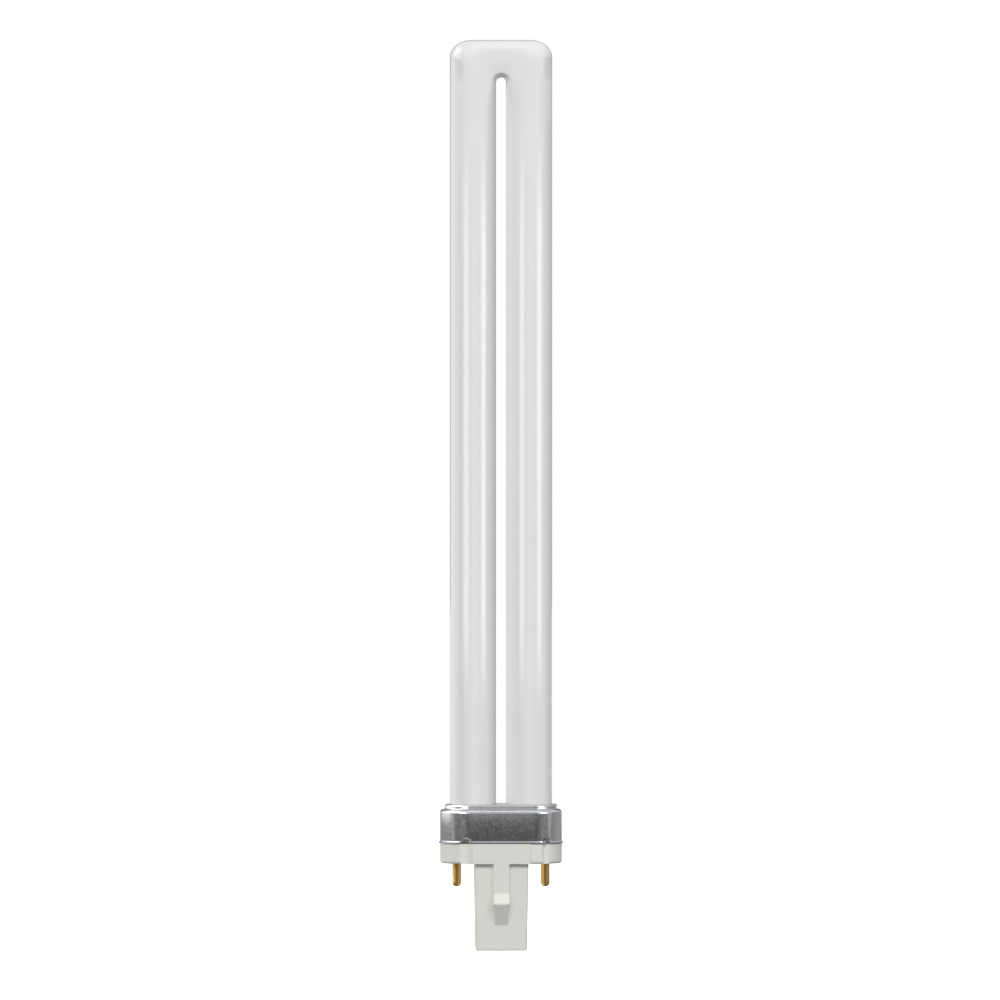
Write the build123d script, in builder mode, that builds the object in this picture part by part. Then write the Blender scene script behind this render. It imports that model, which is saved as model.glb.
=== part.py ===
from build123d import *
import os
from math import asin, cos, pi, radians, sin, sqrt, tan

# Twin-tube compact fluorescent bulb with a two-pin plug-in cap.
# Millimetres. The origin is on the lamp's axis, in the seating face of the cap, halfway between the pins.
# +Z runs from the cap to the glass, X runs along the line of the pins, and -Y is the front.

# Discharge tube
leg_diameter = 12.0
leg_gap = 2.6
seat_to_top = 214.0
bend_height = 9.8
bend_corner_reach = 5.7
bend_corner_drop = 4.4
bend_squareness = 1.9
seal_taper_length = 3.4
seal_length = 3.0
seal_width = 8.4
seal_thickness = 2.6

# Collar
collar_wall = 0.4
collar_top = 15.4
collar_lip_margin = 1.3
collar_lip_height = 1.25
collar_lip_edge_radius = 0.5
collar_shoulder_radius = 1.25
collar_bead_height = 0.6
collar_bead_proud = 0.3
leg_hole_clearance = 0.2
crimp_height = 1.7
crimp_clearance = 0.06

# Cap moulding
skirt_height = 5.2
skirt_edge_radius = 0.7
spigot_top = 10.6
spigot_clearance = 0.05
spigot_wall = 1.3
floor_thickness = 2.0
groove_rise = 2.2
wide_groove_place = 9.25
wide_groove_width = 3.5
wide_groove_depth = 1.0
narrow_groove_place = 11.55
narrow_groove_width = 2.2
narrow_groove_depth = 0.8

# Cap ribs and their latch noses
rib_bar_width = 15.2
rib_stem_width = 4.15
rib_proud = 0.35
rib_height = 1.05
rib_edge_radius = 0.25
nose_start = 7.6
nose_peak = 10.1
nose_end = 15.9
nose_proud = 1.2
nose_chamfer = 0.5

# Cap plug
plug_width = 14.15
plug_length = 22.5
plug_draft = 1.1
plug_wall = 1.2
plug_end_thickness = 1.2
plug_corner_radius = 0.8
plug_end_radius = 0.45

# Contact pins
pin_pitch = 23.0
pin_diameter = 2.3
pin_length = 6.1
pin_tip_radius = 0.8
pin_shank_diameter = 2.8
pin_shank_clearance = 0.05
pin_boss_diameter = 4.8
pin_boss_height = 1.0
pin_head_diameter = 3.8
pin_head_height = 0.6
pin_head_chamfer = 0.3

# Basing cement
cement_depth = 3.2
cement_clearance = 0.05

# Starter bottle and suppression capacitor
starter_diameter = 7.0
starter_length = 15.0
starter_offset = 2.3
starter_base_radius = 0.8
starter_dome_radius = 2.4
starter_seal_width = 5.4
starter_seal_thickness = 1.8
starter_seal_length = 2.6
capacitor_width = 8.0
capacitor_thickness = 3.4
capacitor_height = 9.5
capacitor_offset = 3.9
capacitor_edge_radius = 0.7

# Wires
wire_diameter = 0.6
wire_bend_radius = 0.7
wire_straight = 0.1
wire_joint_gap = 0.05
seal_lead_spacing = 5.0
starter_lead_spacing = 3.8
capacitor_lead_spacing = 5.0
capacitor_lead_drop = 2.0

# Sizes that follow from the ones above
leg_radius = leg_diameter / 2
leg_offset = (leg_diameter + leg_gap) / 2
leg_pitch = 2 * leg_offset
slot_radius = leg_gap / 2
round_weight = sqrt(0.5)
bend_base = seat_to_top - bend_height - slot_radius
lip_radius = leg_radius + collar_lip_margin
band_radius = lip_radius + collar_shoulder_radius
shoulder_top = collar_top - collar_lip_height
spigot_radius = band_radius - collar_wall - spigot_clearance
pocket_radius = spigot_radius - spigot_wall
rib_front = band_radius + rib_proud
plug_depth = 2 * (rib_front - rib_height)
cavity_bottom = plug_end_thickness - plug_length
pin_hole_radius = pin_shank_diameter / 2 + pin_shank_clearance
pin_head_bottom = floor_thickness + pin_boss_height
pin_head_top = pin_head_bottom + pin_head_height
lead_height = pin_head_top + wire_bend_radius + wire_straight
seal_bottom = lead_height + wire_bend_radius + wire_straight
seal_top = seal_bottom + seal_length
leg_bottom = seal_top + seal_taper_length
cement_top = collar_top - collar_wall
starter_top = cavity_bottom + starter_length + starter_seal_length
capacitor_top = cavity_bottom + capacitor_height
wire_radius = wire_diameter / 2
upright = (Align.CENTER, Align.CENTER, Align.MIN)


def straight_run(start, end):
    """Control points of a straight run."""
    return [start + (end - start) * (step / 3) for step in range(4)]


def round_run(centre, reach, rise, start, end):
    """Control points of an oval arc in the front plane, between two angles above the horizontal."""
    handle = 4 / 3 * tan(radians(end - start) / 4)
    outward = [Vector(reach * cos(radians(angle)), 0, rise * sin(radians(angle))) for angle in (start, end)]
    onward = [Vector(-reach * sin(radians(angle)), 0, rise * cos(radians(angle))) for angle in (start, end)]
    first, last = [centre + direction for direction in outward]
    return [first, first + onward[0] * handle, last - onward[1] * handle, last]


def corner_weights(start, end):
    """Corner weights from one share of the bend to another: round at the leg, easing to squarest in the middle."""
    span = bend_squareness - round_weight
    first, last = [round_weight + span * share**2 * (3 - 2 * share) for share in (start, end)]
    first_rise, last_rise = [2 * span * share * (1 - share) * (end - start) for share in (start, end)]
    return [first, first + first_rise, last - last_rise, last]


def bend_skin(outer, inner, weights):
    """The four faces of the bend whose sections span from the inner run to the outer run.

    A section is an oval at the round weight, and squarer as its corner weight is higher.
    """
    faces = []
    for quarter in range(4):
        start, end = radians(90 * quarter), radians(90 * (quarter + 1))
        across = [cos(start), cos(start) + cos(end), cos(end)]
        deep = [sin(start), sin(start) + sin(end), sin(end)]
        net = []
        for far, near in zip(outer, inner):
            middle, half = (far + near) / 2, (far - near) / 2
            net.append([middle + half * a + Vector(0, leg_radius * d, 0) for a, d in zip(across, deep)])
        faces.append(Face.make_bezier_surface(net, [[1, weight, 1] for weight in weights]))
    return faces


def half_bend():
    """Half of the bend: up the outside of a leg, round the shoulder and along the top to the middle.

    The inner side turns round the slot's end as the outer side travels, so that the skin stays smooth.
    """
    slot_end = Vector(0, 0, bend_base)
    shoulder = Vector(leg_offset + leg_radius - bend_corner_reach, 0, seat_to_top - bend_corner_drop)
    side_start = slot_end + Vector(leg_offset + leg_radius, 0, 0)
    side_end = shoulder + Vector(bend_corner_reach, 0, 0)
    top_start = shoulder + Vector(0, 0, bend_corner_drop)
    top_end = Vector(0, 0, seat_to_top)
    outer_runs = [
        straight_run(side_start, side_end),
        round_run(shoulder, bend_corner_reach, bend_corner_drop, 0, 90),
        straight_run(top_start, top_end),
    ]
    corner_length = pi / 2 * sqrt((bend_corner_reach**2 + bend_corner_drop**2) / 2)
    lengths = [(side_end - side_start).length, corner_length, (top_end - top_start).length]
    shares = [sum(lengths[:run]) / sum(lengths) for run in range(len(lengths) + 1)]
    faces = []
    for outer, start, end in zip(outer_runs, shares, shares[1:]):
        inner = round_run(slot_end, slot_radius, slot_radius, 90 * start, 90 * end)
        faces += bend_skin(outer, inner, corner_weights(start, end))
    leg_rim = [face.edges().sort_by(Axis.Z)[0] for face in faces[:4]]
    middle_rim = [face.edges().sort_by(Axis.X)[0] for face in faces[-4:]]
    return Solid(Shell(faces + [Face(Wire(leg_rim)), Face(Wire(middle_rim))]))


bend = half_bend()

# The glass: two round legs joined by a square-shouldered bend, each leg closed by a flat pinch seal.
# It is sealed all round, and is one solid.
with BuildPart() as discharge_tube:
    add(bend)
    mirror(about=Plane.YZ)
    with BuildSketch(Plane.XY.offset(leg_bottom)):
        with Locations((-leg_offset, 0), (leg_offset, 0)):
            Circle(leg_radius)
    extrude(amount=bend_base - leg_bottom)
    for side in (-leg_offset, leg_offset):
        with BuildSketch(Plane.XY.offset(leg_bottom)):
            with Locations((side, 0)):
                Circle(leg_radius)
        with BuildSketch(Plane.XY.offset(seal_top)):
            with Locations((side, 0)):
                Ellipse(seal_thickness / 2, seal_width / 2)
        loft()
    with BuildSketch(Plane.XY.offset(seal_bottom)):
        with Locations((-leg_offset, 0), (leg_offset, 0)):
            Ellipse(seal_thickness / 2, seal_width / 2)
    extrude(amount=seal_length)


def groove_axis(place, width, depth, turn):
    """Where a groove's upright axis stands outside the skirt, the groove's radius, and how far out it stands."""
    radius = (width**2 / 4 + depth**2) / (2 * depth)
    standoff = radius - depth
    past_leg = max(abs(place) - leg_offset, 0)
    lean = asin(past_leg / band_radius)
    along = abs(place) - past_leg + (band_radius + standoff) * sin(lean)
    out = (band_radius + standoff) * cos(lean)
    foot = Vector(along if place > 0 else -along, -out, 0)
    return foot.rotate(Axis.Z, turn), radius, standoff


# Each long side of the cap has a wide groove and a narrow one, and the back is the front turned half round.
grooves = []
for turn in (0, 180):
    grooves.append(groove_axis(-wide_groove_place, wide_groove_width, wide_groove_depth, turn))
    grooves.append(groove_axis(narrow_groove_place, narrow_groove_width, narrow_groove_depth, turn))


def press_crimps(growth):
    """Press the crimps into the lower edge of the collar's form, deepest at the edge."""
    for foot, radius, standoff in grooves:
        edge_radius = radius - collar_wall - crimp_clearance + growth
        with Locations(foot + Vector(0, 0, skirt_height)):
            Cone(edge_radius, standoff + growth, crimp_height, align=upright, mode=Mode.SUBTRACT)


def collar_form(inset):
    """The collar's stepped slot shape, drawn in from the outside by this much all round."""
    with BuildPart() as form:
        with BuildSketch(Plane.XY.offset(skirt_height)):
            SlotCenterToCenter(leg_pitch, 2 * (band_radius - inset))
        extrude(amount=shoulder_top - inset - skirt_height)
        fillet(form.edges().group_by(Axis.Z)[-1], collar_shoulder_radius - inset)
        with BuildSketch(Plane.XY.offset(skirt_height)):
            SlotCenterToCenter(leg_pitch, 2 * (lip_radius - inset))
        extrude(amount=collar_top - inset - skirt_height)
        press_crimps(inset)
    return form.part


# The collar: drawn aluminium, open below, with a hole for each leg and a rolled lower edge.
# Its crimps key into the grooves of the cap.
with BuildPart() as collar:
    with BuildSketch(Plane.XY.offset(skirt_height)):
        SlotCenterToCenter(leg_pitch, 2 * (band_radius + collar_bead_proud))
    extrude(amount=collar_bead_height)
    fillet(collar.edges().group_by(Axis.Z)[-1], 0.9 * collar_bead_proud)
    fillet(collar.edges().group_by(Axis.Z)[0], 0.9 * collar_bead_proud)
    press_crimps(0)
    add(collar_form(0))
    fillet(collar.edges().group_by(Axis.Z)[-1], collar_lip_edge_radius)
    add(collar_form(collar_wall), mode=Mode.SUBTRACT)
    with BuildSketch(Plane.XY.offset(collar_top)):
        with Locations((-leg_offset, 0), (leg_offset, 0)):
            Circle(leg_radius + leg_hole_clearance)
    extrude(amount=-2 * collar_wall, mode=Mode.SUBTRACT)

# One latch rib: a stem down the face of the plug, with a nose that snaps behind the lampholder's springs.
nose_front = rib_front + nose_proud
ramp_foot = plug_depth / 2 - nose_end * tan(radians(plug_draft))
with BuildPart() as latch_rib:
    with BuildSketch(Plane.YZ):
        with BuildLine():
            Polyline(
                (0, 0),
                (-rib_front, 0),
                (-rib_front, -nose_start),
                (-nose_front, -nose_peak),
                (-ramp_foot, -nose_end),
                (0, -nose_end),
                close=True,
            )
        make_face()
    extrude(amount=rib_stem_width / 2, both=True)
    ramp = latch_rib.faces().sort_by(Axis.Y).filter_by(lambda face: face.normal_at().Z < -0.1)[0]
    chamfer(ramp.edges().filter_by(Axis.X, reverse=True), nose_chamfer)

# The cap: one moulding of off-white plastic. A skirt with a spigot that plugs into the collar,
# a floor that carries the pins, a hollow plug for the starter, and a T-shaped rib on each broad face.
with BuildPart() as cap_body:
    with BuildSketch():
        SlotCenterToCenter(leg_pitch, 2 * band_radius)
    extrude(amount=skirt_height)
    fillet(cap_body.edges().group_by(Axis.Z)[0], skirt_edge_radius)
    with BuildSketch(Plane.XY.offset(skirt_height)):
        SlotCenterToCenter(leg_pitch, 2 * spigot_radius)
    extrude(amount=spigot_top - skirt_height)
    for foot, radius, standoff in grooves:
        with Locations(foot):
            Cylinder(radius, skirt_height + groove_rise, align=upright, mode=Mode.SUBTRACT)
    with BuildSketch():
        RectangleRounded(rib_bar_width, 2 * rib_front, rib_edge_radius)
    extrude(amount=skirt_height)
    with BuildSketch():
        RectangleRounded(plug_width, plug_depth, plug_corner_radius)
    extrude(amount=-plug_length, taper=plug_draft)
    fillet(cap_body.edges().group_by(Axis.Z)[0], plug_end_radius)
    add(latch_rib.part)
    add(latch_rib.part.rotate(Axis.Z, 180))
    with BuildSketch(Plane.XY.offset(floor_thickness)):
        SlotCenterToCenter(leg_pitch, 2 * pocket_radius)
    extrude(amount=spigot_top - floor_thickness, mode=Mode.SUBTRACT)
    with BuildSketch(Plane.XY.offset(floor_thickness)):
        RectangleRounded(plug_width - 2 * plug_wall, plug_depth - 2 * plug_wall, plug_corner_radius)
    extrude(amount=cavity_bottom - floor_thickness, taper=plug_draft, mode=Mode.SUBTRACT)
    with Locations((-pin_pitch / 2, 0, floor_thickness), (pin_pitch / 2, 0, floor_thickness)):
        Cylinder(pin_boss_diameter / 2, pin_boss_height, align=upright)
    with Locations((-pin_pitch / 2, 0, 0), (pin_pitch / 2, 0, 0)):
        Cylinder(pin_hole_radius, pin_head_bottom, align=upright, mode=Mode.SUBTRACT)


def contact_pin(place):
    """A turned brass pin: a round-tipped contact, a wider shank through the floor, and a head on the boss."""
    with BuildPart() as pin:
        with BuildSketch(Plane(origin=(place, 0, 0), x_dir=(1, 0, 0), z_dir=(0, -1, 0))) as profile:
            with BuildLine():
                Polyline(
                    (0, -pin_length),
                    (pin_diameter / 2, -pin_length),
                    (pin_diameter / 2, 0),
                    (pin_shank_diameter / 2, 0),
                    (pin_shank_diameter / 2, pin_head_bottom),
                    (pin_head_diameter / 2, pin_head_bottom),
                    (pin_head_diameter / 2, pin_head_top),
                    (0, pin_head_top),
                    close=True,
                )
            make_face()
            fillet(profile.vertices().group_by(Axis.Y)[0].sort_by(Axis.X)[-1], pin_tip_radius)
            chamfer(profile.vertices().group_by(Axis.Y)[-1].sort_by(Axis.X)[-1], pin_head_chamfer)
        revolve(axis=Axis((place, 0, 0), (0, 0, 1)))
    return pin.part


# Basing cement: a poured plug inside the lip of the collar, which bonds both legs to it.
with BuildPart() as basing_cement:
    with BuildSketch(Plane.XY.offset(cement_top)):
        SlotCenterToCenter(leg_pitch, 2 * (lip_radius - collar_wall - cement_clearance))
    extrude(amount=-cement_depth)
    with BuildSketch(Plane.XY.offset(cement_top)):
        with Locations((-leg_offset, 0), (leg_offset, 0)):
            Circle(leg_radius)
    extrude(amount=-cement_depth, mode=Mode.SUBTRACT)

# Glow starter: a small sealed glass bottle that stands on the end wall of the plug.
with BuildPart() as glow_starter:
    with BuildSketch(Plane.XY.offset(cavity_bottom)):
        with Locations((0, -starter_offset)):
            Circle(starter_diameter / 2)
    extrude(amount=starter_length)
    fillet(glow_starter.edges().group_by(Axis.Z)[-1], starter_dome_radius)
    fillet(glow_starter.edges().group_by(Axis.Z)[0], starter_base_radius)
    with BuildSketch(Plane.XY.offset(starter_top)):
        with Locations((0, -starter_offset)):
            Ellipse(starter_seal_width / 2, starter_seal_thickness / 2)
    extrude(amount=-starter_seal_length - starter_dome_radius)

# Suppression capacitor: a dipped block that stands behind the starter.
with BuildPart() as suppression_capacitor:
    with Locations((0, capacitor_offset, cavity_bottom)):
        Box(capacitor_width, capacitor_thickness, capacitor_height, align=upright)
    fillet(suppression_capacitor.edges().filter_by(Axis.Z), capacitor_edge_radius)
    fillet(suppression_capacitor.edges().group_by(Axis.Z)[-1], capacitor_edge_radius)


def wire_along(*corners):
    """A round wire with a small bend at each corner of its route."""
    with BuildPart() as wire:
        with BuildLine() as route:
            FilletPolyline(*corners, radius=wire_bend_radius)
        with BuildSketch(Plane(origin=route.line @ 0, z_dir=route.line % 0)):
            Circle(wire_radius)
        sweep()
    return wire.part


pieces = {
    "discharge_tube": discharge_tube.part,
    "collar": collar.part,
    "cap_body": cap_body.part,
    "basing_cement": basing_cement.part,
    "glow_starter": glow_starter.part,
    "suppression_capacitor": suppression_capacitor.part,
}

# Each side has a pin, a wire from the leg's seal to the pin's head, a wire from the seal to the starter,
# and a capacitor lead that joins the starter's wire.
joint_height = starter_top + capacitor_lead_drop
for hand, side in (("left", -1), ("right", 1)):
    seal = side * leg_offset
    pin = side * pin_pitch / 2
    starter_lead = side * starter_lead_spacing / 2
    capacitor_lead = side * capacitor_lead_spacing / 2
    pieces[f"contact_pin_{hand}"] = contact_pin(pin)
    pieces[f"lead_wire_{hand}_pin"] = wire_along(
        (seal, -seal_lead_spacing / 2, seal_bottom),
        (seal, -seal_lead_spacing / 2, lead_height),
        (pin, 0, lead_height),
        (pin, 0, pin_head_top),
    )
    pieces[f"lead_wire_{hand}_starter"] = wire_along(
        (seal, seal_lead_spacing / 2, seal_bottom),
        (seal, seal_lead_spacing / 2, lead_height),
        (starter_lead, -starter_offset, lead_height),
        (starter_lead, -starter_offset, starter_top),
    )
    pieces[f"capacitor_lead_{hand}"] = wire_along(
        (capacitor_lead, capacitor_offset, capacitor_top),
        (capacitor_lead, capacitor_offset, joint_height),
        (starter_lead, wire_radius + wire_joint_gap - starter_offset, joint_height),
    )

os.makedirs("parts", exist_ok=True)
for name, piece in pieces.items():
    piece.label = name
    export_step(piece, f"parts/{name}.step")
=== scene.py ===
from math import asin, cos, hypot, pi, radians, sin, sqrt, tan

import bmesh
import bpy
from mathutils import Matrix, Vector


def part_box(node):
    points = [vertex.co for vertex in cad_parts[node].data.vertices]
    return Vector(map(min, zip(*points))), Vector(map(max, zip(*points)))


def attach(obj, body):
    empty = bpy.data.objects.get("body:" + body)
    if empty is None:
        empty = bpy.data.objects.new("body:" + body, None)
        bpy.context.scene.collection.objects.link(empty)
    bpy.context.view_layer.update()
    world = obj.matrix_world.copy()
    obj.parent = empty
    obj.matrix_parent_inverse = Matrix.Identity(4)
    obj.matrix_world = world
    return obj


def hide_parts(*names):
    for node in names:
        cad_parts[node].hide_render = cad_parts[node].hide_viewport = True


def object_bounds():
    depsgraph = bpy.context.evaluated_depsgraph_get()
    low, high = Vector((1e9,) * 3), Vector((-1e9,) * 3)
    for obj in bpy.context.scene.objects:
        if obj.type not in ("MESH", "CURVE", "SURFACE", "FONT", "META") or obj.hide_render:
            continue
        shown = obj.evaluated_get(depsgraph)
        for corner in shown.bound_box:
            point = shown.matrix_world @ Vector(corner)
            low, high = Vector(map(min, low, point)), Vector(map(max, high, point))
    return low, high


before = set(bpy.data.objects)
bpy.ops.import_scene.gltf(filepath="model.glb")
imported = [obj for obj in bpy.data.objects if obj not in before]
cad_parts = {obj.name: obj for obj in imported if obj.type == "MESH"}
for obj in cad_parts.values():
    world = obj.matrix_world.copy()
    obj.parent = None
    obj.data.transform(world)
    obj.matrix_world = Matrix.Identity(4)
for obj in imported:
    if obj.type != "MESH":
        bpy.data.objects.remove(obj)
cad_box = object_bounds()

# Discharge tube: two glass legs joined by a square-shouldered bend, all drawn and bent from one tube.
# It is coated white inside and pinched shut at the foot of each leg. Cement holds the legs in the collar.
mm = 0.001
tube_low, tube_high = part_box("discharge_tube")
leg_radius = tube_high.y
leg_offset = tube_high.x - leg_radius
slot_radius = leg_offset - leg_radius
glass_top = tube_high.z
bend_height = 9.8 * mm
corner_reach = 5.7 * mm
corner_drop = 4.4 * mm
bend_squareness = 1.9
web_start = 12.0 * mm
web_rise = 15.0 * mm
web_drop = 1.9 * mm
web_curve = 2.3
web_lip = 1.2 * mm
web_blend = 1.2
seal_length = 3.0 * mm
seal_taper_length = 3.4 * mm
seal_thickness = 2.6 * mm
seal_width = 8.4 * mm
even_leg = 1.5 * mm
round_segments = 96
run_steps = 24
hair = 0.001 * mm

round_weight = sqrt(0.5)
leg_diameter = 2 * leg_radius
leg_bottom = tube_low.z + seal_length + seal_taper_length
bend_base = glass_top - bend_height - slot_radius
shoulder = Vector((tube_high.x - corner_reach, 0, glass_top - corner_drop))
bend_runs = {
    "side": shoulder.z - bend_base,
    "corner": pi / 2 * sqrt((corner_reach**2 + corner_drop**2) / 2),
    "top": shoulder.x,
}


def leg_section(height, thickness, width):
    """Lays a unit circle across the leg as an oval of this thickness and width."""
    place = Matrix.Translation((leg_offset, 0, height))
    return place @ Matrix.Diagonal((thickness / 2, width / 2, 1, 1))


def outer_point(run, share):
    """A point on the outside of the bend, this share of the way along its side, its corner or its top."""
    if run == "side":
        return Vector((tube_high.x, 0, bend_base + bend_runs["side"] * share))
    if run == "corner":
        turn = pi / 2 * share
        return shoulder + Vector((corner_reach * cos(turn), 0, corner_drop * sin(turn)))
    return Vector((shoulder.x * (1 - share), 0, glass_top))


def bend_section(outer, turn):
    """Lays a unit circle across the bend, as an oval from this outer point to the slot's end at this turn."""
    inner = Vector((slot_radius * cos(turn), 0, bend_base + slot_radius * sin(turn)))
    reach = (outer - inner) / 2
    across = Vector((0, leg_radius, 0))
    columns = Matrix((reach, across, reach.cross(across).normalized())).transposed()
    return Matrix.Translation((outer + inner) / 2) @ columns.to_4x4()


def squared(spot, weight):
    """Moves a point of the unit circle outwards, onto the rounded square with this corner weight."""
    low, high = sorted((abs(spot.x), abs(spot.y)))
    slope = low / high
    step = sqrt(weight**2 * (1 - slope) ** 2 + slope) - weight * (1 - slope)
    return spot * (1 + 2 * weight * step) / (1 + 2 * weight * step + step**2) / high


def eased(share):
    """This share of the way, with a gentle start and end."""
    return share**2 * (3 - 2 * share)


def web_depth(spot, full):
    """How far out the glass stands near the slot's end, where a web fills the valley between the legs."""
    fill = eased(min(max((spot.z - bend_base + web_start) / web_rise, 0), 1))
    leg_share = min(max((leg_offset - spot.x) / leg_radius, 0), 1)
    leg_gap = leg_radius * (1 - sqrt(1 - leg_share**2))
    below_top = max(glass_top - spot.z, hair) / (glass_top - bend_base)
    web_gap = web_drop * below_top**web_curve
    blend = (fill * leg_gap**web_blend + web_gap**web_blend) ** (1 / web_blend)
    gap = leg_gap * web_gap / blend
    from_slot = max(hypot(spot.x, max(spot.z - bend_base, 0)) - slot_radius, 0)
    lip = sqrt(1 - (1 - min(from_slot / web_lip, 1)) ** 2)
    return full * (1 - gap / leg_radius) * (1 - fill * (1 - lip))


def edges_of(verts):
    """The edges that join these vertices to each other, in the same order on every run."""
    linked = dict.fromkeys(edge for vert in verts for edge in vert.link_edges)
    inside = set(verts)
    return [edge for edge in linked if all(vert in inside for vert in edge.verts)]


def extend(bm, rim):
    """Extrudes a rim of edges in place. Gives the new rim's edges and vertices."""
    grown = bmesh.ops.extrude_edge_only(bm, edges=rim)["geom"]
    verts = [item for item in grown if isinstance(item, bmesh.types.BMVert)]
    return edges_of(verts), verts


tube = bmesh.new()
sections = [
    (leg_section(tube_low.z, seal_thickness, seal_width), round_weight),
    (leg_section(tube_low.z + seal_length, seal_thickness, seal_width), round_weight),
    (leg_section(leg_bottom, leg_diameter, leg_diameter), round_weight),
    (leg_section(leg_bottom + even_leg, leg_diameter, leg_diameter), round_weight),
    (leg_section(bend_base - web_start - even_leg, leg_diameter, leg_diameter), round_weight),
]
for step in range(run_steps + 1):
    height = bend_base - web_start * (1 - step / run_steps)
    sections.append((leg_section(height, leg_diameter, leg_diameter), round_weight))
travel = 0
for run, length in bend_runs.items():
    for step in range(1, run_steps + 1):
        along = (travel + length * step / run_steps) / sum(bend_runs.values())
        weight = round_weight + (bend_squareness - round_weight) * eased(along)
        sections.append((bend_section(outer_point(run, step / run_steps), pi / 2 * along), weight))
    travel += length
bmesh.ops.create_circle(tube, cap_ends=True, segments=round_segments, radius=1, matrix=sections[0][0])
rim = tube.edges[:]
tube_rings = []
for (last, _), (section, weight) in zip(sections, sections[1:]):
    rim, rim_verts = extend(tube, rim)
    bmesh.ops.transform(tube, matrix=section @ last.inverted(), verts=rim_verts)
    tube_rings.append((section, weight, rim_verts))
for section, weight, ring_verts in tube_rings:
    for vert in ring_verts:
        spot = section.inverted() @ vert.co
        if spot.x > 0:
            vert.co = section @ squared(spot, weight)
        if vert.co.z > bend_base - web_start and abs(vert.co.y) > hair:
            full = abs(vert.co.y) if spot.x > 0 else leg_radius
            vert.co.y = web_depth(vert.co, full) * (1 if spot.y > 0 else -1)
bmesh.ops.mirror(tube, geom=tube.verts[:] + tube.edges[:] + tube.faces[:], axis="X", merge_dist=hair)
bmesh.ops.remove_doubles(tube, verts=tube.verts[:], dist=hair)


def linear(code):
    """The linear colour of an sRGB hex code."""
    shares = [int(code[place:place + 2], 16) / 255 for place in (1, 3, 5)]
    return [share / 12.92 if share < 0.04045 else ((share + 0.055) / 1.055) ** 2.4 for share in shares] + [1]


def add_node(tree, kind, settings=None, **inputs):
    """Adds a node with its settings. An input that is given a socket is linked, and any other is set."""
    node = tree.nodes.new("ShaderNode" + kind)
    for name, value in (settings or {}).items():
        setattr(node, name, value)
    for name, value in inputs.items():
        socket = next(item for item in node.inputs if item.enabled and item.name.replace(" ", "_") == name)
        if isinstance(value, bpy.types.NodeSocket):
            tree.links.new(value, socket)
        else:
            socket.default_value = value
    return node


def new_finish(name):
    """An empty material. Gives it and its node tree."""
    finish = bpy.data.materials.new(name)
    finish.use_nodes = True
    finish.node_tree.nodes.clear()
    return finish, finish.node_tree


def set_surface(tree, shader):
    """Ends a material in this shader."""
    output = tree.nodes.new("ShaderNodeOutputMaterial")
    tree.links.new(shader.outputs[0], output.inputs["Surface"])


crisp_angle = radians(35)


def place_piece(name, bm, finish, slot, *nodes):
    """Turns a bmesh into a piece that stands for these nodes, with smooth faces and crisp edges."""
    bmesh.ops.recalc_face_normals(bm, faces=bm.faces[:])
    mesh = bpy.data.meshes.new(name)
    bm.to_mesh(mesh)
    bm.free()
    mesh.shade_smooth()
    mesh.set_sharp_from_angle(angle=crisp_angle)
    mesh.materials.append(finish)
    piece = bpy.data.objects.new(name, mesh)
    bpy.context.scene.collection.objects.link(piece)
    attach(piece, "root")
    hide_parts(*nodes)
    return piece


# Soda-lime glass over a white phosphor coat: a milky body under a clear, slightly wavy drawn surface,
# so highlights are sharp across the tube but waver along it. The coat is a little uneven.
coated_glass, tree = new_finish("phosphor_coated_glass")
coords = add_node(tree, "TexCoord").outputs["Object"]
coat_patch = 9 * mm
coat = add_node(tree, "TexNoise", Vector=coords, Scale=1 / coat_patch, Detail=3.0, Roughness=0.5)
tone = add_node(tree, "Mix", {"data_type": "RGBA"}, Factor=coat.outputs["Fac"],
                A=linear("#dcdddd"), B=linear("#e0e1e0"))
draw_width = 2.2 * mm
draw_length = 40 * mm
along = add_node(tree, "Mapping", Vector=coords, Scale=(1 / draw_width, 1 / draw_width, 1 / draw_length))
waves = add_node(tree, "TexNoise", Vector=along.outputs["Vector"], Scale=1.0, Detail=2.0, Roughness=0.4)
waver = add_node(tree, "Bump", Height=waves.outputs["Fac"], Strength=0.35, Distance=0.03 * mm)
glass = add_node(
    tree, "BsdfPrincipled", Base_Color=tone.outputs["Result"], Roughness=0.07, IOR=1.52,
    Normal=waver.outputs["Normal"],
)
set_surface(tree, glass)
place_piece("glass_tube", tube, coated_glass, "coated_glass", "discharge_tube")

# Collar: drawn from thin aluminium sheet, with a stepped lip round the holes for the legs, and open below.
# Its lower edge is rolled outwards, and is crimped into the grooves of the cap.
collar_low, collar_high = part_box("collar")
sheet = 0.4 * mm
bead_proud = 0.3 * mm
bead_height = 0.6 * mm
lip_margin = 1.3 * mm
lip_height = 1.25 * mm
lip_top_radius = 0.62 * mm
lip_foot_radius = 0.12 * mm
shoulder_radius = 1.12 * mm
bead_edge_radius = 0.19 * mm
bead_foot_radius = 0.1 * mm
lid_flat = 0.95 * mm
leg_clearance = 0.2 * mm
crimp_height = 1.7 * mm
crimp_clearance = 0.06 * mm
crimp_rows = 6
wide_groove_place = -9.25 * mm
wide_groove_width = 3.5 * mm
wide_groove_depth = 1.0 * mm
narrow_groove_place = 11.55 * mm
narrow_groove_width = 2.2 * mm
narrow_groove_depth = 0.8 * mm
bead_radius = collar_high.y
band_radius = bead_radius - bead_proud
lip_radius = leg_radius + lip_margin
seam = collar_low.z
lip_foot = collar_high.z - lip_height
slot_segments = 256


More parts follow.
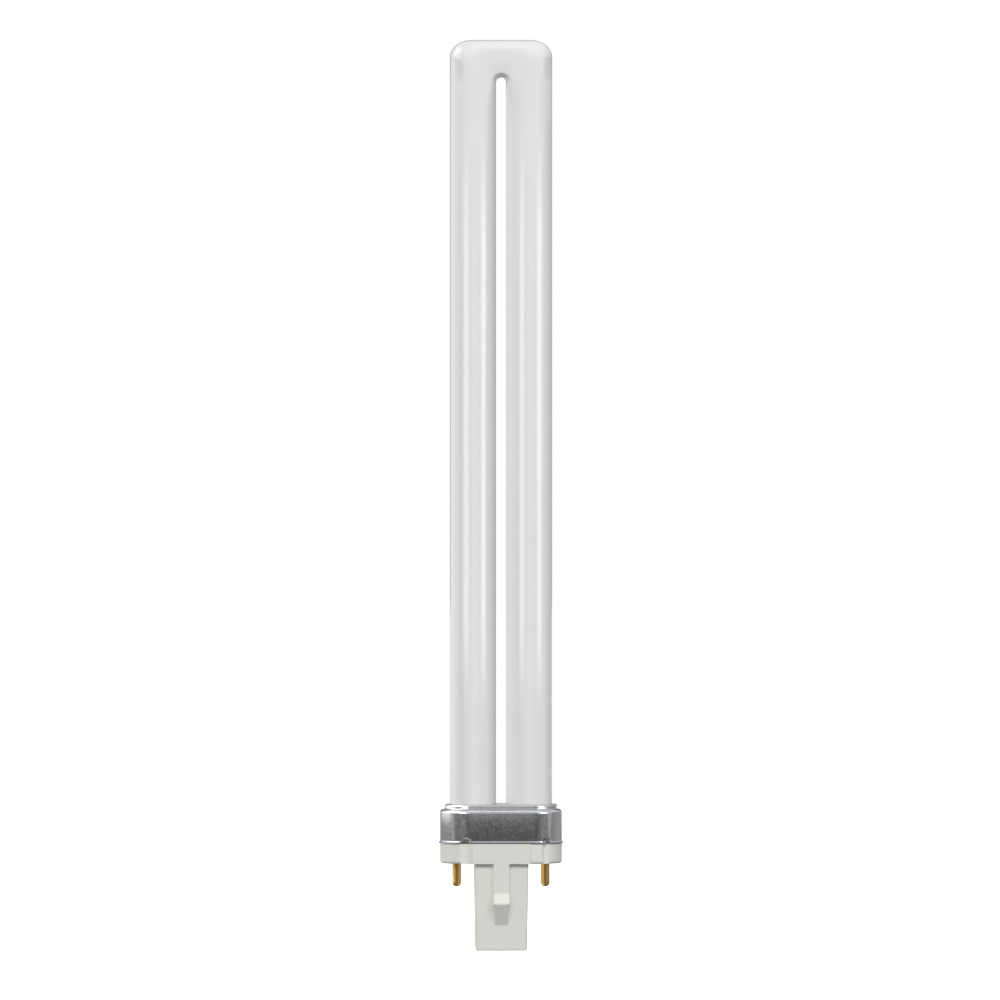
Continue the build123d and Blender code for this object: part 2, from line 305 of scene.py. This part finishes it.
def slot_walls(bm, profile):
    """Walls round both legs, through rings of these radii and heights. Gives each ring's edges."""
    radius, height = profile[0]
    half_step = Matrix.Rotation(pi / slot_segments, 4, "Z")
    first = Matrix.Translation((0, 0, height)) @ half_step
    verts = bmesh.ops.create_circle(bm, segments=slot_segments, radius=radius, matrix=first)["verts"]
    edges = edges_of(verts)
    for side in (-1, 1):
        half = [vert for vert in verts if vert.co.x * side > 0]
        bmesh.ops.translate(bm, vec=(side * leg_offset, 0, 0), verts=half)
    rings = [edges]
    for (radius, height), (next_radius, next_height) in zip(profile, profile[1:]):
        edges, verts = extend(bm, edges)
        bmesh.ops.translate(bm, vec=(0, 0, next_height - height), verts=verts)
        for side in (-1, 1):
            half = [vert for vert in verts if vert.co.x * side > 0]
            about = Matrix.Translation((-side * leg_offset, 0, 0))
            grow = next_radius / radius
            bmesh.ops.scale(bm, vec=(grow, grow, 1), space=about, verts=half)
        rings.append(edges)
    return rings


def round_edges(bm, edges, radius, segments):
    """Rounds edges to this radius."""
    bmesh.ops.bevel(bm, geom=edges, offset=radius, offset_type="OFFSET", segments=segments, profile=0.5,
                    affect="EDGES", material=-1, clamp_overlap=True)


def groove(place, width, depth, turn):
    """The foot of a groove's upright axis outside the cap, its radius, and how far out it stands."""
    radius = (width**2 / 4 + depth**2) / (2 * depth)
    standoff = radius - depth
    past_leg = max(abs(place) - leg_offset, 0)
    lean = asin(past_leg / band_radius)
    x = abs(place) - past_leg + (band_radius + standoff) * sin(lean)
    y = -(band_radius + standoff) * cos(lean)
    foot = Matrix.Rotation(turn, 3, "Z") @ Vector((x if place > 0 else -x, y, 0))
    return foot, radius, standoff


# The cap has a wide groove and a narrow one on each long side. Its back is the front turned half round.
grooves = []
for turn in (0, pi):
    grooves.append(groove(wide_groove_place, wide_groove_width, wide_groove_depth, turn))
    grooves.append(groove(narrow_groove_place, narrow_groove_width, narrow_groove_depth, turn))

shell = bmesh.new()
bead_top = seam + bead_height
crimp_top = seam + crimp_height
crimp_step = (crimp_top - bead_top) / crimp_rows
crimp_run = [(band_radius, bead_top + crimp_step * row) for row in range(1, crimp_rows + 1)]
rings = slot_walls(shell, [
    (band_radius - sheet, seam),
    (bead_radius, seam),
    (bead_radius, bead_top),
    (band_radius, bead_top),
    *crimp_run,
    (band_radius, lip_foot),
    (lip_radius, lip_foot),
    (lip_radius, collar_high.z),
    (lip_radius - lid_flat, collar_high.z),
])
round_edges(shell, rings[-2], lip_top_radius, 8)
round_edges(shell, rings[-3], lip_foot_radius, 3)
round_edges(shell, rings[-4], shoulder_radius, 12)
round_edges(shell, rings[3], bead_foot_radius, 2)
round_edges(shell, rings[1] + rings[2], bead_edge_radius, 4)

# The sheet is pressed into each groove, deepest at its lower edge, and the dent runs out upwards.
for foot, radius, standoff in grooves:
    widest = radius - crimp_clearance
    for vert in shell.verts:
        share = (vert.co.z - seam) / crimp_height
        offset = Vector((vert.co.x - foot.x, vert.co.y - foot.y, 0))
        leg_side = Vector((max(abs(vert.co.x) - leg_offset, 0), vert.co.y))
        reach = widest - (widest - standoff) * share**3 + max(band_radius - leg_side.length, 0)
        if seam - hair < vert.co.z < crimp_top and offset.length < reach:
            vert.co += offset * (reach / offset.length - 1)

lid_rim = [edge for edge in shell.edges if edge.is_boundary and edge.verts[0].co.z > lip_foot]
hole_radius = leg_radius + leg_clearance
holes = []
for side in (-1, 1):
    middle = Matrix.Translation((side * leg_offset, 0, collar_high.z))
    ring = bmesh.ops.create_circle(shell, segments=round_segments, radius=hole_radius, matrix=middle)
    holes += edges_of(ring["verts"])
bmesh.ops.triangle_fill(shell, edges=lid_rim + holes, use_beauty=True)

# Drawn aluminium: a satin grey mirror with a fine grain and faint upright draw lines, which soften what
# it shows. Grain and lines are drawn coarser than they are, so that they show in the render.
drawn_aluminium, tree = new_finish("drawn_aluminium")
coords = add_node(tree, "TexCoord").outputs["Object"]
grain_size = 0.8 * mm
grain = add_node(tree, "TexNoise", Vector=coords, Scale=1 / grain_size, Detail=2.0, Roughness=0.6)
dull = add_node(tree, "MapRange", Value=grain.outputs["Fac"], From_Min=0.3, From_Max=0.7,
                To_Min=0.15, To_Max=0.21)
line_width = 0.3 * mm
line_length = 5 * mm
upright = add_node(tree, "Mapping", Vector=coords, Scale=(1 / line_width, 1 / line_width, 1 / line_length))
lines = add_node(tree, "TexNoise", Vector=upright.outputs["Vector"], Scale=1.0, Detail=2.0, Roughness=0.5)
grain_tone = add_node(tree, "Mix", {"data_type": "RGBA"}, Factor=grain.outputs["Fac"],
                      A=linear("#9b9da0"), B=linear("#e2e3e5"))
tone = add_node(tree, "Mix", {"data_type": "RGBA"}, Factor=lines.outputs["Fac"],
                A=linear("#b5b7b9"), B=grain_tone.outputs["Result"])
relief = add_node(tree, "Bump", Height=grain.outputs["Fac"], Strength=0.3, Distance=0.02 * mm)
metal = add_node(
    tree, "BsdfPrincipled", Base_Color=tone.outputs["Result"], Metallic=1.0, Roughness=dull.outputs["Result"],
    Normal=relief.outputs["Normal"],
)
set_surface(tree, metal)
collar = place_piece("metal_collar", shell, drawn_aluminium, "drawn_aluminium", "collar")
wall = collar.modifiers.new("sheet", "SOLIDIFY")
wall.thickness = sheet
wall.offset = -1
collar.modifiers.new("even_faces", "WEIGHTED_NORMAL").keep_sharp = True

# Cap: one moulding of off-white plastic, with a skirt, a spigot that plugs into the collar, a hollow plug
# for the starter, and on each broad face a T-shaped rib. The rib ends in a latch nose, which the springs
# of the lampholder catch. The collar is crimped into the grooves in the skirt.
cap_low, cap_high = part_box("cap_body")
skirt_edge_radius = 0.7 * mm
spigot_clearance = 0.05 * mm
spigot_wall = 1.3 * mm
floor_thickness = 2.0 * mm
rib_bar_width = 15.2 * mm
rib_stem_width = 4.15 * mm
rib_height = 1.05 * mm
rib_edge_radius = 0.25 * mm
nose_start = -7.6 * mm
nose_peak = -10.1 * mm
nose_end = -15.9 * mm
nose_proud = 1.2 * mm
nose_chamfer = 0.4 * mm
nose_inset = 0.35 * mm
stem_edge_radius = 0.15 * mm
plug_width = 14.15 * mm
plug_draft = radians(1.1)
plug_wall = 1.2 * mm
plug_corner_radius = 0.8 * mm
plug_end_radius = 0.45 * mm
groove_rise = 2.2 * mm
soft_edge = 0.1 * mm
overcut = 1 * mm
cap_crisp_angle = radians(24)
pin_hole_radius = 1.45 * mm
pin_boss_radius = 2.4 * mm
pin_boss_height = 1.0 * mm
nose_front = cap_high.y
rib_front = nose_front - nose_proud
plug_depth = 2 * (rib_front - rib_height)
spigot_radius = band_radius - sheet - spigot_clearance


def rounded_block(width, depth, low, high, draft, corner_radius, corner_segments):
    """A block about the lamp's axis that narrows downwards by the draft, with rounded upright edges."""
    bm = bmesh.new()
    bmesh.ops.create_cube(bm, size=1, matrix=Matrix.Translation((0, 0, (low + high) / 2)))
    for vert in bm.verts:
        end = high if vert.co.z > (low + high) / 2 else low
        inset = (high - end) * tan(draft)
        vert.co.x = (width / 2 - inset) * (1 if vert.co.x > 0 else -1)
        vert.co.y = (depth / 2 - inset) * (1 if vert.co.y > 0 else -1)
        vert.co.z = end
    uprights = [edge for edge in bm.edges if abs(edge.verts[0].co.z - edge.verts[1].co.z) > (high - low) / 2]
    round_edges(bm, uprights, corner_radius, corner_segments)
    return bm


def end_loop(bm, height):
    """The edges that lie at this height."""
    return [edge for edge in bm.edges if all(abs(vert.co.z - height) < hair for vert in edge.verts)]


moulding = bmesh.new()
rings = slot_walls(moulding, [
    (band_radius, 0),
    (band_radius, seam),
    (spigot_radius, seam),
    (spigot_radius, cap_high.z),
    (spigot_radius - spigot_wall, cap_high.z),
    (spigot_radius - spigot_wall, floor_thickness),
])
bmesh.ops.edgeloop_fill(moulding, edges=rings[0])
bmesh.ops.edgeloop_fill(moulding, edges=rings[-1])
round_edges(moulding, rings[0], skirt_edge_radius, 6)

bar = rounded_block(rib_bar_width, 2 * rib_front, 0, seam, 0, rib_edge_radius, 4)
round_edges(bar, end_loop(bar, 0), soft_edge, 2)

plug = rounded_block(plug_width, plug_depth, cap_low.z, floor_thickness / 2,
                     plug_draft, plug_corner_radius, 6)
round_edges(plug, end_loop(plug, cap_low.z), plug_end_radius, 5)

hollow = rounded_block(plug_width - 2 * plug_wall, plug_depth - 2 * plug_wall, cap_low.z + plug_wall,
                       cap_high.z, plug_draft, plug_corner_radius, 4)

stems = []
ramp_foot = plug_depth / 2 + nose_end * tan(plug_draft)
nose_edge = nose_peak - nose_chamfer
for turn in (0, pi):
    stem_outline = [(0, floor_thickness / 2), (rib_front, floor_thickness / 2), (rib_front, nose_start),
                    (nose_front, nose_peak), (nose_front, nose_edge), (0, nose_edge)]
    ramp_outline = [(0, nose_peak), (nose_front - nose_chamfer, nose_peak), (nose_front, nose_edge),
                    (ramp_foot, nose_end), (0, nose_end)]
    for outline, width in ((stem_outline, rib_stem_width), (ramp_outline, rib_stem_width - 2 * nose_inset)):
        stem = bmesh.new()
        face = stem.faces.new([stem.verts.new((-width / 2, y, z)) for y, z in outline])
        grown = bmesh.ops.extrude_face_region(stem, geom=[face])["geom"]
        far = [item for item in grown if isinstance(item, bmesh.types.BMVert)]
        bmesh.ops.translate(stem, vec=(width, 0, 0), verts=far)
        fronts = [edge for edge in stem.edges if abs(edge.verts[0].co.x - edge.verts[1].co.x) < hair
                  and all(vert.co.y > ramp_foot - hair for vert in edge.verts)]
        round_edges(stem, fronts, stem_edge_radius, 3)
        bmesh.ops.rotate(stem, matrix=Matrix.Rotation(turn, 3, "Z"), verts=stem.verts[:])
        stems.append(stem)


def post(foot, radius, low, high):
    """A round post that stands at this foot between two heights."""
    bm = bmesh.new()
    middle = Matrix.Translation((foot.x, foot.y, (low + high) / 2))
    bmesh.ops.create_cone(bm, cap_ends=True, segments=64, radius1=radius, radius2=radius, depth=high - low,
                          matrix=middle)
    return bm


cutters = [post(foot, radius, -overcut, seam) for foot, radius, _ in grooves]
cutters += [post(foot, radius + sheet, seam, seam + groove_rise) for foot, radius, _ in grooves]
pin_feet = []
for hand in ("left", "right"):
    pin_low, pin_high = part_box(f"contact_pin_{hand}")
    pin_feet.append(Vector(((pin_low.x + pin_high.x) / 2, 0, 0)))
boss_top = floor_thickness + pin_boss_height
bosses = [post(foot, pin_boss_radius, floor_thickness / 2, boss_top) for foot in pin_feet]
pin_holes = [post(foot, pin_hole_radius, -overcut, boss_top + overcut) for foot in pin_feet]

# Off-white moulded PBT: an even satin face with a very fine spark texture and soft, wide highlights.
# The texture is drawn coarser than it is, so that it shows in the render.
cap_plastic, tree = new_finish("moulded_pbt")
coords = add_node(tree, "TexCoord").outputs["Object"]
spark_size = 0.3 * mm
spark = add_node(tree, "TexNoise", Vector=coords, Scale=1 / spark_size, Detail=2.0, Roughness=0.5)
flow_size = 6 * mm
flow = add_node(tree, "TexNoise", Vector=coords, Scale=1 / flow_size, Detail=2.0, Roughness=0.5)
tone = add_node(tree, "Mix", {"data_type": "RGBA"}, Factor=flow.outputs["Fac"],
                A=linear("#d4d3cd"), B=linear("#d9d8d2"))
satin = add_node(tree, "MapRange", Value=spark.outputs["Fac"], From_Min=0.3, From_Max=0.7,
                 To_Min=0.36, To_Max=0.46)
relief = add_node(tree, "Bump", Height=spark.outputs["Fac"], Strength=0.15, Distance=0.01 * mm)
plastic = add_node(
    tree, "BsdfPrincipled", Base_Color=tone.outputs["Result"], Roughness=satin.outputs["Result"], IOR=1.53,
    Normal=relief.outputs["Normal"],
)
set_surface(tree, plastic)
cap = place_piece("cap_moulding", moulding, cap_plastic, "cap_plastic", "cap_body")


def cast(body, tool, operation):
    """Joins a bmesh solid to the body, or cuts it away. Gives the object to clear off afterwards."""
    bmesh.ops.recalc_face_normals(tool, faces=tool.faces[:])
    mesh = bpy.data.meshes.new("tool")
    tool.to_mesh(mesh)
    tool.free()
    block = bpy.data.objects.new("tool", mesh)
    bpy.context.scene.collection.objects.link(block)
    step = body.modifiers.new("tool", "BOOLEAN")
    step.operation = operation
    step.object = block
    step.solver = "EXACT"
    return block


tools = [cast(cap, cutter, "DIFFERENCE") for cutter in cutters]
tools += [cast(cap, solid, "UNION") for solid in (bar, plug, *stems, *bosses)]
tools += [cast(cap, hole, "DIFFERENCE") for hole in (hollow, *pin_holes)]
bpy.context.view_layer.update()
cast_mesh = bpy.data.meshes.new_from_object(cap.evaluated_get(bpy.context.evaluated_depsgraph_get()))
cap.modifiers.clear()
for tool in tools:
    bpy.data.objects.remove(tool)
cap.data = cast_mesh
cast_mesh.materials.clear()
cast_mesh.materials.append(cap_plastic)
cast_mesh.shade_smooth()
cast_mesh.set_sharp_from_angle(angle=cap_crisp_angle)
cap.modifiers.new("even_faces", "WEIGHTED_NORMAL").keep_sharp = True

# Contact pins: turned from brass rod, with a round tip below the cap and a thicker shank in its floor.
# Each is riveted through the floor, and its head closes over the boss inside.
pin_diameter = 2.3 * mm
pin_tip_radius = 1.1 * mm
pin_shank_diameter = 2.8 * mm
pin_head_diameter = 3.8 * mm
pin_head_height = 0.6 * mm

# Turned brass: warm yellow metal with fine rings from the tool and a slight brown tarnish in patches.
# The rings are drawn coarser than they are, so that they show in the render.
turned_brass, tree = new_finish("turned_brass")
coords = add_node(tree, "TexCoord").outputs["Object"]
ring_pitch = 0.16 * mm
ring_run = 0.8 * mm
across = add_node(tree, "Mapping", Vector=coords, Scale=(1 / ring_run, 1 / ring_run, 1 / ring_pitch))
tool_rings = add_node(tree, "TexNoise", Vector=across.outputs["Vector"], Scale=1.0,
                      Detail=2.0, Roughness=0.6)
tarnish_size = 0.9 * mm
tarnish = add_node(tree, "TexNoise", Vector=coords, Scale=1 / tarnish_size, Detail=3.0, Roughness=0.6)
tone = add_node(tree, "Mix", {"data_type": "RGBA"}, Factor=tarnish.outputs["Fac"],
                A=linear("#c4984c"), B=linear("#eec87e"))
relief = add_node(tree, "Bump", Height=tool_rings.outputs["Fac"], Strength=0.4, Distance=0.01 * mm)
brass = add_node(
    tree, "BsdfPrincipled", Base_Color=tone.outputs["Result"], Metallic=1.0, Roughness=0.26,
    Normal=relief.outputs["Normal"],
)
set_surface(tree, brass)

for hand in ("left", "right"):
    pin_low, pin_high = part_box(f"contact_pin_{hand}")
    middle = (pin_low.x + pin_high.x) / 2
    head_bottom = pin_high.z - pin_head_height
    pin = bmesh.new()
    outline = [
        (0, pin_low.z),
        (pin_diameter / 2, pin_low.z),
        (pin_diameter / 2, 0),
        (pin_shank_diameter / 2, 0),
        (pin_shank_diameter / 2, head_bottom),
        (pin_head_diameter / 2, head_bottom),
        (pin_head_diameter / 2, pin_high.z),
        (0, pin_high.z),
    ]
    corners = [pin.verts.new((middle + radius, 0, height)) for radius, height in outline]
    for start, end in zip(corners, corners[1:]):
        pin.edges.new((start, end))
    bmesh.ops.bevel(pin, geom=[corners[1]], offset=pin_tip_radius, offset_type="OFFSET", segments=8,
                    profile=0.5, affect="VERTICES", material=-1)
    bmesh.ops.spin(pin, geom=pin.verts[:] + pin.edges[:], cent=(middle, 0, 0), axis=(0, 0, 1), angle=2 * pi,
                   steps=64, use_merge=True)
    bmesh.ops.remove_doubles(pin, verts=pin.verts[:], dist=hair)
    piece = place_piece(f"brass_pin_{hand}", pin, turned_brass, "pin_brass", f"contact_pin_{hand}")
    piece.modifiers.new("even_faces", "WEIGHTED_NORMAL").keep_sharp = True


# Inside the cap: the cement that bonds the legs, the glow starter with its capacitor, and the wires between
# them. They are hidden once the lamp is put together, so they keep the solids' shapes.
def dress(nodes, name, tones, patch, roughness, metallic=0.0):
    """Gives these nodes a finish that is mottled between two tones, in patches of this size."""
    finish, tree = new_finish(name)
    coords = add_node(tree, "TexCoord").outputs["Object"]
    patches = add_node(tree, "TexNoise", Vector=coords, Scale=1 / patch, Detail=3.0, Roughness=0.6)
    tone = add_node(tree, "Mix", {"data_type": "RGBA"}, Factor=patches.outputs["Fac"],
                    A=linear(tones[0]), B=linear(tones[1]))
    surface = add_node(tree, "BsdfPrincipled", Base_Color=tone.outputs["Result"], Roughness=roughness,
                       Metallic=metallic)
    set_surface(tree, surface)
    for node in nodes:
        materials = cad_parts[node].data.materials
        materials.clear()
        materials.append(finish)


# Basing cement: chalky and dull, greyish beige, with the grain of its mineral filler.
dress(["basing_cement"], "basing_cement", ("#b9b3a6", "#cfcabd"), patch=1.1 * mm, roughness=0.9)

# Starter glass: smooth and shiny, with a faint grey film inside.
dress(["glow_starter"], "starter_glass", ("#bcc4c2", "#c9d0ce"), patch=3 * mm, roughness=0.12)

# Dipped lacquer on the capacitor: reddish brown with a soft gloss, and a little uneven where it ran.
dress(["suppression_capacitor"], "dipped_lacquer", ("#a5643a", "#b26f43"), patch=2 * mm, roughness=0.35)

# Nickel wire: a warm grey metal with a satin shine from drawing.
wires = [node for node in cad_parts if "lead" in node]
dress(wires, "nickel_wire", ("#a9a7a2", "#bdbbb5"), patch=0.5 * mm, roughness=0.3, metallic=1.0)

# Floor: a pale matt board under the plug, which takes the lamp's soft shadow.
# Seen by the camera or in a reflection it also glows, enough to be white out of the shadow.
floor_reach = 1.0
floor_glow = 0.75
board = bmesh.new()
level_with_plug = Matrix.Translation((0, 0, cap_low.z))
bmesh.ops.create_grid(board, x_segments=1, y_segments=1, size=floor_reach, matrix=level_with_plug)
floor_mesh = bpy.data.meshes.new("floor")
board.to_mesh(floor_mesh)
board.free()
floor = bpy.data.objects.new("floor", floor_mesh)
bpy.context.scene.collection.objects.link(floor)
floor.visible_diffuse = False


def seen_by(tree, *rays):
    """A value that is 1 for these kinds of ray and 0 for any other."""
    path = add_node(tree, "LightPath")
    value = path.outputs[rays[0]]
    for ray in rays[1:]:
        either = add_node(tree, "Math", {"operation": "MAXIMUM"})
        tree.links.new(value, either.inputs[0])
        tree.links.new(path.outputs[ray], either.inputs[1])
        value = either.outputs[0]
    return value


pale_board, tree = new_finish("pale_board")
seen = seen_by(tree, "Is Camera Ray", "Is Glossy Ray")
glow_level = add_node(tree, "MapRange", Value=seen, To_Max=floor_glow)
matt = add_node(tree, "BsdfDiffuse", Color=linear("#e6e6e4"))
glow = add_node(tree, "Emission", Color=(1, 1, 1, 1), Strength=glow_level.outputs["Result"])
both = add_node(tree, "AddShader")
tree.links.new(matt.outputs[0], both.inputs[0])
tree.links.new(glow.outputs[0], both.inputs[1])
set_surface(tree, both)
floor_mesh.materials.append(pale_board)

# Studio: a white surround, which the camera, the metal and the glass see at full white.
# Its own light on the lamp is much weaker, and soft.
ambient = 0.345
world = bpy.data.worlds.new("studio")
bpy.context.scene.world = world
world.use_nodes = True
tree = world.node_tree
tree.nodes.clear()
seen = seen_by(tree, "Is Camera Ray", "Is Glossy Ray", "Is Transmission Ray")
level = add_node(tree, "MapRange", Value=seen, To_Min=ambient, To_Max=1.0)
surround = add_node(tree, "Background", Color=(1, 1, 1, 1), Strength=level.outputs["Result"])
output = tree.nodes.new("ShaderNodeOutputWorld")
tree.links.new(surround.outputs[0], output.inputs["Surface"])

# Lamps: square soft boxes round the bulb, placed by their bearing from the front, which is positive to the
# right. The rim and back boxes only brighten the outline, and cast no shadows.
lamp_distance = 6.0


def softbox(name, bearing, elevation, size, watts, shadow=True):
    """A lamp that lights the bulb's middle, and isn't itself seen in reflections."""
    light = bpy.data.lights.new(name, "AREA")
    light.size = size
    light.energy = watts
    light.use_shadow = shadow
    turn = radians(bearing)
    rise = radians(elevation)
    outward = Vector((cos(rise) * sin(turn), -cos(rise) * cos(turn), sin(rise)))
    middle = (cad_box[0] + cad_box[1]) / 2
    box = bpy.data.objects.new(name, light)
    aim = outward.to_track_quat("Z", "Y").to_matrix().to_4x4()
    box.matrix_world = Matrix.Translation(middle + lamp_distance * outward) @ aim
    box.visible_camera = False
    box.visible_glossy = False
    bpy.context.scene.collection.objects.link(box)


softbox("front_box", bearing=0, elevation=40, size=2.4, watts=194)
softbox("left_box", bearing=-30, elevation=35, size=2.4, watts=45)
softbox("right_box", bearing=38, elevation=36, size=1.4, watts=94)
softbox("left_rim", bearing=-120, elevation=5, size=2.4, watts=178, shadow=False)
softbox("back_box", bearing=172, elevation=15, size=2.4, watts=130, shadow=False)


# Cards: plates round the bulb that only its reflections see. Dark ones take the place of the white surround
# there, and glowing ones lay the long highlights on the legs and the small ones on collar and pins.
def card(name, place, width, height, level, side_fade=0.01, end_fade=0.01, lights=False):
    """A plate that glows at this level and fades out over these shares of its half width and half height.

    Where it lights, it also gives soft light in place of what stands behind it.
    """
    mesh = bpy.data.meshes.new(name)
    bm = bmesh.new()
    bmesh.ops.create_grid(bm, x_segments=1, y_segments=1, size=1)
    bm.to_mesh(mesh)
    bm.free()
    paint, tree = new_finish(name)
    spot = add_node(tree, "SeparateXYZ", Vector=add_node(tree, "TexCoord").outputs["Object"])
    shares = []
    for axis, fade in (("X", side_fade), ("Y", end_fade)):
        out = add_node(tree, "Math", {"operation": "ABSOLUTE"})
        tree.links.new(spot.outputs[axis], out.inputs[0])
        shares.append(add_node(tree, "MapRange", {"interpolation_type": "SMOOTHSTEP"}, Value=out.outputs[0],
                               From_Min=1 - fade, From_Max=1.0, To_Min=1.0, To_Max=0.0))
    share = add_node(tree, "Math", {"operation": "MULTIPLY"})
    tree.links.new(shares[0].outputs["Result"], share.inputs[0])
    tree.links.new(shares[1].outputs["Result"], share.inputs[1])
    clear = add_node(tree, "BsdfTransparent")
    glow = add_node(tree, "Emission", Color=(1, 1, 1, 1), Strength=level)
    blend = add_node(tree, "MixShader", Fac=share.outputs[0])
    tree.links.new(clear.outputs[0], blend.inputs[1])
    tree.links.new(glow.outputs[0], blend.inputs[2])
    set_surface(tree, blend)
    mesh.materials.append(paint)
    plate = bpy.data.objects.new(name, mesh)
    plate.matrix_world = place @ Matrix.Diagonal((width / 2, height / 2, 1, 1))
    bpy.context.scene.collection.objects.link(plate)
    plate.visible_camera = False
    plate.visible_diffuse = lights
    plate.visible_transmission = False
    plate.visible_shadow = False


def standing(bearing, distance, height):
    """Where an upright card faces the bulb's axis, with its middle at this height."""
    turn = radians(bearing)
    spot = Matrix.Translation((distance * sin(turn), -distance * cos(turn), height))
    return spot @ Matrix.Rotation(turn, 4, "Z") @ Matrix.Rotation(pi / 2, 4, "X")


def lying(x, y, height):
    """Where a level card has its middle."""
    return Matrix.Translation((x, y, height))


# In front, a dark card across the whole view, with a soft glow before it for the middle of each leg.
card("dark_front_card", standing(0, 0.7, 0.085), width=4.0, height=0.214, level=0.15)
card("front_glow", standing(2, 0.2, 0.12), width=0.24, height=0.26, level=0.7, side_fade=0.75, end_fade=0.11)

# Close by, small cards that show in the collar's band and in the pins, and are too low for the legs.
card("front_collar_card", standing(0, 0.06, 0.00375), width=0.08, height=0.0155, level=0.13)
card("left_collar_card", standing(-112, 0.06, 0.00325), width=0.09, height=0.0145, level=0.4)
card("left_pin_card", standing(-105, 0.06, -0.012), width=0.09, height=0.015, level=1.5)
card("right_pin_card", standing(90, 0.0087, -0.0045), width=0.01, height=0.012, level=0.75)

# Over the front, a card for the collar's shoulder and lip. It is tilted so that the legs show it edge on.
edge_on = Matrix.Rotation(radians(-2.3), 4, "X")
card("collar_top_card", lying(0, -0.1, 0.194) @ edge_on, width=0.3, height=0.18, level=1.4)

# Over the floor, a dark card all round, with a lighter one on either side.
card("dark_floor_card", lying(0, 0, cap_low.z + 0.5 * mm), width=2.0, height=2.0, level=0.25)
card("left_floor_card", lying(-0.4, 0.2, cap_low.z + 1.0 * mm), width=0.6, height=0.5, level=0.5,
     side_fade=0.2, end_fade=0.2)
card("right_floor_card", lying(0.45, 0.25, cap_low.z + 1.0 * mm), width=0.4, height=0.4, level=0.6,
     side_fade=0.2, end_fade=0.2)

# At the sides, the strips that lay a long highlight down each side of a leg, a light card for the left rims
# and a dark one for the right rims.
card("left_strip", standing(-35.5, 0.35, 0.1165), width=0.3, height=0.183, level=4.5,
     side_fade=1.0, end_fade=0.42)
card("right_strip", standing(53, 0.35, 0.1165), width=0.28, height=0.183, level=5.3,
     side_fade=1.0, end_fade=0.42)
card("left_card", standing(-112, 0.6, 0.11), width=0.8, height=0.244, level=2.0, side_fade=0.6, end_fade=0.03)
card("dark_right_card", standing(112, 0.6, 0.1), width=0.8, height=0.24, level=0.45,
     side_fade=0.3, end_fade=0.03)

# Above, a box for each corner of the bend, and a dark flag that keeps the bend's top edge grey.
card("left_top_box", standing(-85, 0.6, 0.5275), width=0.9, height=0.605, level=4.4,
     side_fade=0.4, end_fade=0.05)
card("right_top_box", standing(75, 0.6, 0.53), width=0.7, height=0.6, level=0.8, side_fade=0.4, end_fade=0.2)
card("over_flag", lying(0, -0.02, 0.32), width=0.2, height=0.16, level=0.2, side_fade=0.3, end_fade=0.3)

# Behind, dark flags that give the glass and the metal a grey edge against the white surround.
card("top_flag", standing(180, 1.2, 0.9), width=0.5, height=1.3, level=0.2)
card("left_flag", standing(-163, 1.2, 0.5), width=0.55, height=0.9, level=0.2)
card("right_flag", standing(163, 1.2, 0.5), width=0.55, height=0.9, level=0.2)

# In the slot, two cards back to back, in place of the light that each leg throws on the other.
# The dark one lays painted shade on the left leg's inner flank, and the light one lights the right leg's
# inner flank.
slot_middle = (collar_high.z + bend_base) / 2
slot_length = bend_base - collar_high.z
for name, bearing, level in (("slot_dark_card", -90, 0.33), ("slot_light_card", 90, 0.52)):
    place = standing(bearing, 0.1 * mm, slot_middle)
    card(name, place, width=leg_diameter, height=slot_length, level=level, lights=True)

# Camera: level with the middle of the lamp, far off on a long lens, a little to the left of square on.
camera_height = 94.4 * mm
camera_distance = 2.4
camera_bearing = radians(-0.9)
aim_offset = -0.26 * mm
view_height = 260.1 * mm
lens = bpy.data.cameras.new("camera")
lens.sensor_width = 36
lens.lens = lens.sensor_width * camera_distance / view_height
lens.clip_end = 50
camera = bpy.data.objects.new("camera", lens)
camera.location = (
    aim_offset + camera_distance * sin(camera_bearing),
    -camera_distance * cos(camera_bearing),
    camera_height,
)
camera.rotation_euler = (pi / 2, 0, camera_bearing)
bpy.context.scene.collection.objects.link(camera)
bpy.context.scene.camera = camera
bpy.context.scene.view_settings.view_transform = "Standard"
